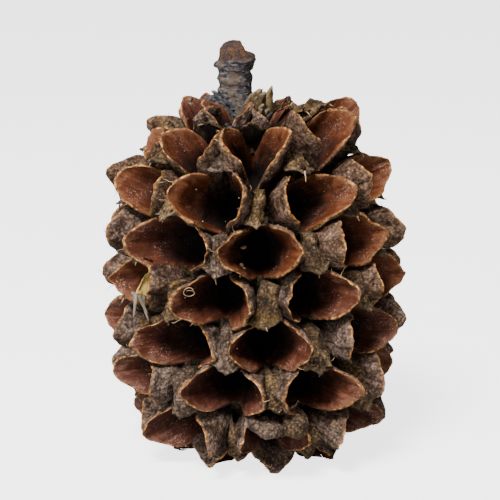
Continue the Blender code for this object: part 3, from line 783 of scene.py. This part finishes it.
def cup_fit(points, shape, skin):
    """How far out points lie in a cup's outline, 1 on its wall, and the rim's depth beside them."""
    inverse = np.linalg.inv(shape["frame"])
    local = placed(inverse, points)
    across, up, depth = local[:, 0], local[:, 1], local[:, 2]
    up = up - shape["droop"] * np.abs(across)
    phi = np.arctan2(up / HALF_HEIGHT, across / HALF_GAPE)
    for _ in range(4):
        rim = rim_depth(phi, shape)
        share = np.clip((depth - shape["floor"]) / (rim - shape["floor"]), 0, 1)
        half_width, half_height = cup_halves(share, across, shape)
        c = across / (half_width + skin)
        s = np.abs(up) / (half_height + 0.65 * skin)
        s = np.copysign(s ** (1 / shape["point"]), up)
        phi = np.arctan2(s, c)
    return np.hypot(c, s), rim, depth


def ground_piece(cups, material):
    """The crusted wood between fruitlets, open at their throats and dipping into their seams."""
    rows, columns, steps = 190, 300, 2000
    inset = -GROUND_DEPTH + 0.4 * MM
    angles = [math.radians(-88.5 + 177 * i / steps) for i in range(steps + 1)]
    samples = [barrel_point(angle, inset) for angle in angles]
    lengths = map(math.dist, samples, samples[1:])
    lengths = list(itertools.accumulate(lengths, initial=0.0))
    wanted = np.linspace(0, lengths[-1], rows)
    radius, height = (np.interp(wanted, lengths, side) for side in zip(*samples))
    azimuth = np.arange(columns) * 2 * math.pi / columns
    x = radius[:, None] * np.sin(azimuth) + axis_shift(height)[:, None]
    y = -radius[:, None] * np.cos(azimuth)
    points = stacked(x, y, height[:, None]) + np.array(SHIFT)
    normal = -grid_normals(points)
    points = points + normal * (rough_noise(points, 1.6 * MM, 5, 4) * 0.3 * MM)[..., None]
    flat = points.reshape(-1, 3)
    gone = np.zeros(len(flat), dtype=bool)
    drop = np.zeros(len(flat))
    for cup in cups:
        near = np.linalg.norm(flat - cup["frame"][:3, 3], axis=1) < GROUND_REACH
        out, rim, depth = cup_fit(flat[near], cup, GROUND_SKIN)
        which = np.flatnonzero(near)
        gone[which[out < 1]] = True
        dip = np.maximum(depth - (rim + 0.1 * MM), 0) * (1 - smooth(out, 1.05, 1.5))
        drop[which] = np.maximum(drop[which], dip * cup["scale"])
    flat = flat - normal.reshape(-1, 3) * drop[:, None]
    skin = Skin()
    skin.add_grid(flat.reshape(points.shape), (0, 0, 0, 1), caps=False, gone=gone)
    skin.build("cone_ground", material)


def stalk_middle(height):
    """Where the stalk's middle line is at a height."""
    return axis_shift(height) + STALK_OFFSET + SHIFT.x


# The stalk's heights, and its radius on the left and on the right at each, in mm
STALK = (
    (31.5, 3.9, 3.9), (34.2, 3.6, 3.5), (36.4, 3.05, 2.95), (37.8, 2.6, 2.5), (38.7, 2.15, 2.1),
    (39.5, 2.0, 1.75), (40.4, 1.92, 1.52), (41.0, 1.98, 1.66), (41.9, 2.0, 1.5),
    (42.5, 2.25, 1.75), (43.0, 1.95, 2.1), (43.4, 1.8, 2.15),
)


def stalk_radius(height, turn):
    """The stalk's radius at heights and angles, with its left and right sides told apart."""
    heights, left, right = np.array(STALK).T * MM
    left, right = np.interp(height, heights, left), np.interp(height, heights, right)
    share = (1 + np.cos(turn)) / 2
    return left * (1 - share) + right * share


def stalk_piece(material):
    """The ringed stalk, broken off with a knob on the left and a ledge on the right."""
    rows, top_rows, columns = 130, 26, 96
    azimuth = np.arange(columns) * 2 * math.pi / columns
    heights = np.linspace(31.5, 43.4, rows) * MM
    radius = stalk_radius(heights[:, None], azimuth[None, :])
    share = np.concatenate([np.ones(rows), np.linspace(1, 0.04, top_rows + 1)[1:]])
    heights = np.concatenate([heights, np.full(top_rows, heights[-1])])
    radius = np.concatenate([radius, np.repeat(radius[-1:], top_rows, axis=0)]) * share[:, None]
    across = radius * np.cos(azimuth)
    grid = stacked(across, radius * np.sin(azimuth), heights[:, None])
    knob = smooth(0.95 * MM - across - 0.15 * grid[..., 1], 0.0, 0.45 * MM)
    dome = (1 - share**3.5)[:, None] ** 0.5
    grid[..., 2] += dome * (0.5 + 1.1 * knob - 0.1 * across / MM * knob) * MM
    wood = smooth(grid[..., 2] / MM - 0.1 * across / MM, 42.95, 43.3)
    flare = smooth(grid[..., 2] / MM, 38.5, 36.0)
    grid[..., 0] += stalk_middle(0.0) - AXIS_LEAN * grid[..., 2]
    grid[..., 1] += SHIFT.y
    normal = -grid_normals(grid)
    rings = np.sin(grid[..., 2] / MM * 4.6 + lattice_noise(grid, 1.9 * MM, 3) * 3.0)
    rings = np.minimum(rings, 0.2) * (1 - wood) * (1 - flare)
    lumps = rough_noise(grid * np.array([1, 1, 1.5]), 1.1 * MM, 21, 5)
    size = 0.2 * (1 - 0.45 * wood) + 0.2 * flare
    grid += normal * ((rings * 0.12 + lumps * size) * MM)[..., None]
    skin = Skin()
    skin.add_grid(grid, stacked(wood, 0, 0, 1))
    skin.build("stalk", material)


def add_scale(skin, foot, direction, length, width, seed, marks, facing=None):
    """One small pointed leaf scale, a bent plate that narrows to its tip."""
    rows, columns = 12, 7
    direction = Vector(direction).normalized()
    side = direction.cross(Vector(facing or (foot[0], foot[1], 0))).normalized()
    out = side.cross(direction).normalized()
    u = np.linspace(-1, 1, columns)
    grid = []
    for i in range(rows):
        v = i / (rows - 1)
        half = width / 2 * (1 - v**1.8) ** 0.8 + 0.03 * MM
        bend = 0.25 * length * v * v
        middle = np.array(foot) + np.array(direction) * length * v + np.array(out) * bend
        hollow = 0.25 * width * (1 - u * u)
        thick = 0.28 * MM * (1 - 0.6 * v)
        front = middle + np.outer(u * half, side) + np.outer(hollow, out)
        back = (front - np.array(out) * thick)[::-1]
        grid.append(np.concatenate([front, back]))
    points = np.stack(grid)
    points = points + rough_noise(points, 0.5 * MM, seed, 2)[..., None] * 0.07 * MM
    skin.add_grid(points, marks)


def scales_piece(material, rng):
    """Leaf scales at the stalk's foot and a few higher up on it."""
    skin = Skin()
    for i in range(56):
        azimuth = i * 2.399 + rng.uniform(-0.3, 0.3)
        height = (34.8 + 3.6 * (i / 56) ** 0.8 + rng.uniform(-0.3, 0.3)) * MM
        radius = float(stalk_radius(height, azimuth))
        foot = (
            stalk_middle(height) + radius * 0.92 * math.cos(azimuth),
            SHIFT.y + radius * 0.92 * math.sin(azimuth),
            height,
        )
        out = rng.uniform(0.0, 0.4)
        direction = (out * math.cos(azimuth), out * math.sin(azimuth), 1.0)
        length = rng.uniform(1.1, 2.0) * MM
        width = rng.uniform(1.1, 1.9) * MM
        warm = max(rng.uniform(-0.6, 0.9), 0) * float(smooth(math.cos(azimuth), -0.2, 0.6))
        slate = 0.9 * (1 - float(smooth(math.cos(azimuth), -0.1, 0.5)))
        add_scale(skin, foot, direction, length, width, i, (0, warm, slate, 1))
    tall = (stalk_middle(0.0) + 1.9 * MM, SHIFT.y + 0.8 * MM, 37.0 * MM)
    add_scale(skin, tall, (0.12, 0.0, 1.0), 3.3 * MM, 1.4 * MM, 99, (0, 1, 0, 1), (0.3, -1, 0))
    skin.build("leaf_scales", material)


def add_tube(skin, path, thick, thin, marks):
    """A round tapering hair along a path of points."""
    path = np.array(path)
    along = np.gradient(path, axis=0)
    along = along / np.linalg.norm(along, axis=1, keepdims=True)
    spare = np.cross(along, (0.31, 0.52, 0.8))
    spare = spare / np.linalg.norm(spare, axis=1, keepdims=True)
    other = np.cross(along, spare)
    turn = np.arange(5) * 2 * math.pi / 5
    radii = np.linspace(thick, thin, len(path))[:, None, None]
    rings = spare[:, None] * np.cos(turn)[:, None] + other[:, None] * np.sin(turn)[:, None]
    skin.add_grid(path[:, None] + rings * radii, marks)


def curl_path(start, direction, length, bend, rng, steps=7):
    """Points of a hair that bends at random on its way."""
    point, heading = Vector(start), Vector(direction).normalized()
    path = [point.copy()]
    for _ in range(steps):
        shake = Vector([rng.uniform(-1, 1) for _ in range(3)])
        heading = (heading + shake * bend).normalized()
        point = point + heading * (length / steps)
        path.append(point.copy())
    return path


# Strands under the seed and a curled fibre on a rim, in mm: start, direction, length, thickness
STRANDS = (
    ((-12.3, -8.2, 19.3), (0.05, -0.1, -1), 2.7, 0.3),
    ((-11.9, -8.1, 19.1), (0.12, -0.15, -1), 2.2, 0.34),
    ((-11.6, -8.0, 19.0), (0.15, -0.1, -1), 2.9, 0.28),
    ((-12.6, -8.0, 19.4), (0.2, -0.05, -1), 2.0, 0.26),
)
CURL = (-6.5, -13.6, 20.7)
CURL_SIZE = 0.46 * MM


def hairs_piece(cups, material, rng):
    """Points of bracts, and stray hairs on lips and rims."""
    skin = Skin()
    for cup in cups:
        if cup["whorl"] == FIRST_WHORL:
            continue
        local = Matrix(cup["frame"].tolist())
        start = local @ cup["spur"]
        down = local.to_3x3() @ Vector((rng.uniform(-0.2, 0.2), -1, rng.uniform(-0.1, 0.4)))
        if rng.random() < 0.55:
            path = curl_path(start, down, rng.uniform(0.4, 1.2) * MM, 0.16, rng)
            add_tube(skin, path, rng.uniform(0.07, 0.14) * MM, 0.03 * MM, (0, 0, 0, 1))
        for _ in range(rng.randrange(1, 5)):
            phi = rng.uniform(0, 2 * math.pi)
            rim = float(rim_depth(np.array([phi]), cup)[0])
            spot = cup_points(np.array([phi]), 1.0, cup, 0.5 * MM, np.array([rim]))[0]
            out = Vector((math.cos(phi), math.sin(phi), rng.uniform(-0.3, 0.8)))
            length = rng.uniform(0.4, 1.4) * MM
            path = curl_path(local @ Vector(spot), local.to_3x3() @ out, length, 0.35, rng)
            add_tube(skin, path, 0.035 * MM, 0.02 * MM, (0, 0, 0, 1))
    for start, direction, length, thick in STRANDS:
        path = curl_path(Vector(start) * MM, direction, length * MM, 0.12, rng)
        add_tube(skin, path, thick * MM, 0.08 * MM, (1, 0, 0, 1))
    loop = []
    for turn in [2 * math.pi * k / 16 * 1.3 for k in range(17)]:
        across, up = 1 + 0.05 * turn, 1.15 - 0.07 * turn
        point = Vector((math.cos(turn) * across, -0.15 * turn, math.sin(turn) * up)) * CURL_SIZE
        loop.append(Vector(CURL) * MM + point)
    add_tube(skin, loop, 0.05 * MM, 0.035 * MM, (0.3, 0, 0, 1))
    skin.build("hairs", material, node=None)


def add_grain(skin, middle, size, rng):
    """A crumb: a small uneven lump."""
    turns = np.arange(6) * math.pi / 3
    rows = []
    for lift, out in ((-0.8, 0.5), (-0.3, 0.95), (0.3, 0.9), (0.8, 0.45)):
        rows.append(stacked(np.cos(turns) * out, np.sin(turns) * out, lift))
    points = np.stack(rows)
    shape = np.array([rng.uniform(0.5, 1.4), rng.uniform(0.5, 1.2), rng.uniform(0.4, 0.9)])
    points = points * shape * size
    points = points + np.array([rng.uniform(-0.2, 0.2) * size for _ in range(3)])
    turn = Matrix.Rotation(rng.uniform(0, 6.28), 3, "X")
    turn = np.array(turn @ Matrix.Rotation(rng.uniform(0, 6.28), 3, "Z"))
    skin.add_grid(points @ turn.T + np.array(middle), (0, 0, 0, 1))


# Larger tan crumbs in the middle mouth, in mm: place and size
LARGE_CRUMBS = (
    ((-0.95, -11.9, 25.0), 0.28),
    ((-1.15, -12.3, 23.2), 0.3),
    ((-0.95, -12.3, 22.9), 0.24),
    ((-1.3, -13.2, 22.3), 0.24),
)


def crumbs_piece(cups, material, rng):
    """Pale flecks in the valves and on their rims."""
    skin = Skin()
    for cup in cups:
        local = Matrix(cup["frame"].tolist())
        for _ in range(rng.randrange(4, 10)):
            phi = rng.uniform(0, 2 * math.pi)
            if abs(math.cos(phi)) < 0.3:
                continue
            share = rng.uniform(0.55, 0.98)
            rim = rim_depth(np.array([phi]), cup)
            spot = cup_points(np.array([phi]), share, cup, -0.02 * MM, rim)[0]
            add_grain(skin, local @ Vector(spot), rng.uniform(0.03, 0.085) * MM, rng)
    for place, size in LARGE_CRUMBS:
        add_grain(skin, Vector(place) * MM, size * MM, rng)
    skin.build("crumbs", material, node=None)


def buds_piece(material):
    """Closed buds under the broad end, each with a seam between two small valves."""
    skin = Skin()
    rows, columns = 16, 28
    spots = [(0.0, 0.4, 1.15)] + [(3.4 * MM, 2 * math.pi * i / 6 + 0.2, 1.0) for i in range(6)]
    for number, (radius, azimuth, gain) in enumerate(spots):
        foot = BARREL_MIDDLE - LOWER_HEIGHT - GROUND_DEPTH + 0.8 * MM + SHIFT.z
        x = radius * math.sin(azimuth) + axis_shift(0) + SHIFT.x
        y = -radius * math.cos(azimuth) + SHIFT.y
        turn = np.arange(columns) * 2 * math.pi / columns
        grid = []
        for i in range(rows):
            v = i / (rows - 1)
            out = 1.45 * MM * gain * (1 - v**2.2) ** 0.7 + 0.02 * MM
            seam = 1 - 0.35 * np.exp(-((np.sin(turn) / 0.22) ** 2)) * v
            ring = stacked(np.cos(turn) * out * 1.2 * seam, np.sin(turn) * out * seam, 0)
            c, s = math.cos(azimuth), math.sin(azimuth)
            ring = ring @ np.array([[c, -s, 0], [s, c, 0], [0, 0, 1]]).T
            spread = 1 + 0.12 * v
            grid.append(ring + np.array([x * spread, y * spread, foot - 2.2 * MM * v]))
        points = np.stack(grid)
        lumps = rough_noise(points, 0.8 * MM, 30 + number)[..., None]
        skin.add_grid(points + grid_normals(points) * lumps * 0.1 * MM, (0, 0, 0, 1))
    skin.build("buds", material)


# The seed's two sides from its tip in the throat, in mm: up and out in its fruitlet's axes
SEED_SIDES = (
    ((0.45, -2.9), (0.05, -2.9)), ((0.75, -1.9), (-0.1, -2.1)), ((1.3, -0.9), (-0.45, -1.0)),
    ((1.6, 0.3), (-1.0, 0.2)), ((1.2, 1.2), (-1.5, 1.4)), ((0.3, 1.8), (-1.45, 2.4)),
    ((-0.7, 2.3), (-0.75, 2.32)),
)


def seed_piece(cups, material):
    """The caught winged seed: a thin wrinkled papery sheet with its narrow end in the throat."""
    cup = next(c for c in cups if (c["whorl"], c["place"]) == (SEED_WHORL, SEED_FRUITLET))
    rows, columns = 30, 12
    places = np.linspace(0, len(SEED_SIDES) - 1, rows)
    knots = np.arange(len(SEED_SIDES))
    sides = np.array(SEED_SIDES) * MM
    u = np.linspace(0, 1, columns)
    front = np.zeros((rows, columns, 3))
    for axis in (0, 1):
        first, second = (np.interp(places, knots, sides[:, side, axis]) for side in (0, 1))
        front[..., axis + 1] = first[:, None] * (1 - u) + second[:, None] * u
    along = places[:, None] / places[-1]
    crease = 0.16 * np.sin(u * 9 + along * 3) * along + 0.3 * (u - 0.5) ** 2
    front[..., 0] = crease * MM + 0.12 * MM * lattice_noise(front, 0.6 * MM, 77)
    back = front[:, ::-1].copy()
    back[..., 0] -= 0.1 * MM
    points = placed(cup["frame"], np.concatenate([front, back], axis=1))
    skin = Skin()
    skin.add_grid(points, stacked(0.6 * smooth(along, 0.3, 0.05), 0, 0, 1))
    skin.build("seed_wing", material, node="winged_seed")


def put_in(name, data, place, direction):
    """A camera or light at a place, that looks in a direction."""
    thing = linked(name, data)
    thing.location = place
    thing.rotation_mode = "QUATERNION"
    thing.rotation_quaternion = Vector(direction).to_track_quat("-Z", "Y")
    return thing


def make_camera():
    """The camera where the photograph was taken from."""
    data = bpy.data.cameras.new("camera")
    distance, elevation = 0.170, math.radians(12.4)
    shown_width, pixels = 0.055, 500
    aim = Vector((0, 0, 0.0202))
    back = Vector((0, -math.cos(elevation), math.sin(elevation)))
    data.sensor_width = 36
    data.lens = 36 * distance / shown_width
    data.shift_x = -3 / pixels
    data.shift_y = 18 / pixels
    data.clip_start = 0.001
    bpy.context.scene.camera = put_in("camera", data, aim + back * distance, -back)


def make_light(name, place, size, power, colour):
    """A square soft light that looks at the cone's middle."""
    data = bpy.data.lights.new(name, "AREA")
    data.size = size
    data.energy = power
    data.color = colour
    put_in(name, data, place, Vector((0, 0, 0.022)) - Vector(place))


def make_stage():
    """Pale floor, soft lights and a white surrounding."""
    mesh = bpy.data.meshes.new("floor")
    side = 1.5
    corners = [(-side, -side, 0), (side, -side, 0), (side, side, 0), (-side, side, 0)]
    mesh.from_pydata(corners, [], [(0, 1, 2, 3)])
    mesh.materials.append(floor_material())
    floor = linked("floor", mesh)
    world = bpy.data.worlds.new("surroundings")
    bpy.context.scene.world = world
    world.use_nodes = True
    background = world.node_tree.nodes["Background"]
    background.inputs["Color"].default_value = (1, 1, 1, 1)
    background.inputs["Strength"].default_value = 0.42
    make_light("key", (-0.12, -0.28, 0.42), 0.14, 8.6, (1, 0.97, 0.93))
    make_light("fill", (-0.25, -0.35, 0.12), 0.3, 1.2, (0.95, 0.97, 1))


def main():
    rng = random.Random(SEED + 1)
    cups = fruitlets()
    valve, felt = valve_material(), bract_material()
    hair, bark = hair_material(), stalk_material()
    for whorl in range(FIRST_WHORL, LAST_WHORL + 1):
        skin = Skin()
        for cup in cups:
            if cup["whorl"] == whorl:
                add_fruitlet(skin, cup, cups, rng)
        skin.build(f"valves_{whorl - FIRST_WHORL}", valve)
    skin = Skin()
    for cup in cups:
        if cup["whorl"] > FIRST_WHORL:
            add_bract(skin, cup, cups, rng)
    for number, (middle, half, roll, pale) in enumerate(LOBES):
        add_lobe(skin, middle, half, roll, pale, 200 + number)
    skin.build("bracts", felt)
    ground_piece(cups, ground_material())
    stalk_piece(bark)
    scales_piece(bark, rng)
    buds_piece(felt)
    hairs_piece(cups, hair, rng)
    crumbs_piece(cups, hair, rng)
    seed_piece(cups, straw_material())
    make_camera()
    make_stage()


main()
